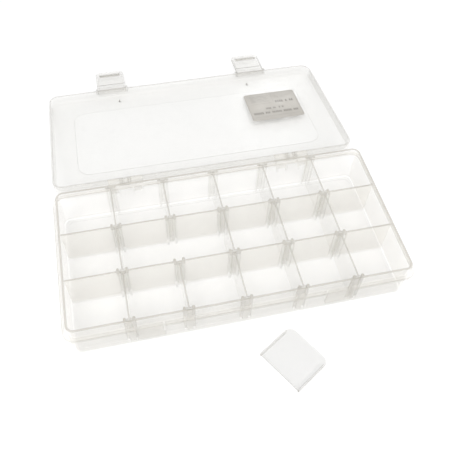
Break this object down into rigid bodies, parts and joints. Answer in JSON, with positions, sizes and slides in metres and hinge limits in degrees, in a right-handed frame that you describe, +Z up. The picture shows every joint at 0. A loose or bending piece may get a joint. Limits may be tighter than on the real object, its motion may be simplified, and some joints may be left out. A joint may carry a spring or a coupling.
{
  "type": "parts sorting tray",
  "caption": "Shallow clear plastic box with a grid of compartments, push-in dividers, a hinged lid laid open and snap latches, for sorting small parts.",
  "frame": {"origin": "centre of the tray's underside, on the surface that it stands on", "axes": "+X along the box, +Y towards the lid hinge at the back, +Z up"},
  "size_m": [0.231, 0.3156, 0.032],
  "materials": {
    "tray_plastic": "frosted clear polypropylene",
    "lid_plastic": "frosted clear polypropylene, smoother panel",
    "latch_plastic": "frosted clear polypropylene",
    "divider_plastic": "frosted clear polypropylene",
    "label_foil": "satin silver-grey sticker"
  },
  "bodies": {
    "tray": {"tray": "tray_plastic"},
    "lid": {"lid": "lid_plastic", "label": "label_foil"},
    "latch_left": {"latch_left": "latch_plastic"},
    "latch_right": {"latch_right": "latch_plastic"},
    "divider_back_1": {"divider_back_1": "divider_plastic"},
    "divider_back_2": {"divider_back_2": "divider_plastic"},
    "divider_back_3": {"divider_back_3": "divider_plastic"},
    "divider_back_4": {"divider_back_4": "divider_plastic"},
    "divider_back_5": {"divider_back_5": "divider_plastic"},
    "divider_middle_1": {"divider_middle_1": "divider_plastic"},
    "divider_middle_3": {"divider_middle_3": "divider_plastic"},
    "divider_middle_4": {"divider_middle_4": "divider_plastic"},
    "divider_middle_5": {"divider_middle_5": "divider_plastic"},
    "divider_front_1": {"divider_front_1": "divider_plastic"},
    "divider_front_2": {"divider_front_2": "divider_plastic"},
    "divider_front_3": {"divider_front_3": "divider_plastic"},
    "divider_front_4": {"divider_front_4": "divider_plastic"},
    "divider_front_5": {"divider_front_5": "divider_plastic"},
    "divider_loose": {"divider_loose": "divider_plastic"}
  },
  "joints": [
    {"name": "lid_hinge", "type": "hinge", "parent": "tray", "child": "lid", "pos_m": [0, 0.0623, 0.024], "axis": [-1, 0, 0], "range_deg": [-187, 0]},
    {"name": "latch_left_pivot", "type": "hinge", "parent": "lid", "child": "latch_left", "pos_m": [-0.062, 0.18277, 0.00568], "axis": [-1, 0, 0], "range_deg": [-90, 0]},
    {"name": "latch_right_pivot", "type": "hinge", "parent": "lid", "child": "latch_right", "pos_m": [0.062, 0.18277, 0.00568], "axis": [-1, 0, 0], "range_deg": [-90, 0]},
    {"name": "divider_back_1_lift", "type": "slide", "parent": "tray", "child": "divider_back_1", "axis": [0, 0, 1], "range_m": [0, 0.034]},
    {"name": "divider_back_2_lift", "type": "slide", "parent": "tray", "child": "divider_back_2", "axis": [0, 0, 1], "range_m": [0, 0.034]},
    {"name": "divider_back_3_lift", "type": "slide", "parent": "tray", "child": "divider_back_3", "axis": [0, 0, 1], "range_m": [0, 0.034]},
    {"name": "divider_back_4_lift", "type": "slide", "parent": "tray", "child": "divider_back_4", "axis": [0, 0, 1], "range_m": [0, 0.034]},
    {"name": "divider_back_5_lift", "type": "slide", "parent": "tray", "child": "divider_back_5", "axis": [0, 0, 1], "range_m": [0, 0.034]},
    {"name": "divider_middle_1_lift", "type": "slide", "parent": "tray", "child": "divider_middle_1", "axis": [0, 0, 1], "range_m": [0, 0.034]},
    {"name": "divider_middle_3_lift", "type": "slide", "parent": "tray", "child": "divider_middle_3", "axis": [0, 0, 1], "range_m": [0, 0.034]},
    {"name": "divider_middle_4_lift", "type": "slide", "parent": "tray", "child": "divider_middle_4", "axis": [0, 0, 1], "range_m": [0, 0.034]},
    {"name": "divider_middle_5_lift", "type": "slide", "parent": "tray", "child": "divider_middle_5", "axis": [0, 0, 1], "range_m": [0, 0.034]},
    {"name": "divider_front_1_lift", "type": "slide", "parent": "tray", "child": "divider_front_1", "axis": [0, 0, 1], "range_m": [0, 0.034]},
    {"name": "divider_front_2_lift", "type": "slide", "parent": "tray", "child": "divider_front_2", "axis": [0, 0, 1], "range_m": [0, 0.034]},
    {"name": "divider_front_3_lift", "type": "slide", "parent": "tray", "child": "divider_front_3", "axis": [0, 0, 1], "range_m": [0, 0.034]},
    {"name": "divider_front_4_lift", "type": "slide", "parent": "tray", "child": "divider_front_4", "axis": [0, 0, 1], "range_m": [0, 0.034]},
    {"name": "divider_front_5_lift", "type": "slide", "parent": "tray", "child": "divider_front_5", "axis": [0, 0, 1], "range_m": [0, 0.034]},
    {"name": "divider_loose_lift", "type": "slide", "parent": "tray", "child": "divider_loose", "axis": [0, 0, 1], "range_m": [0, 0.034]}
  ]
}
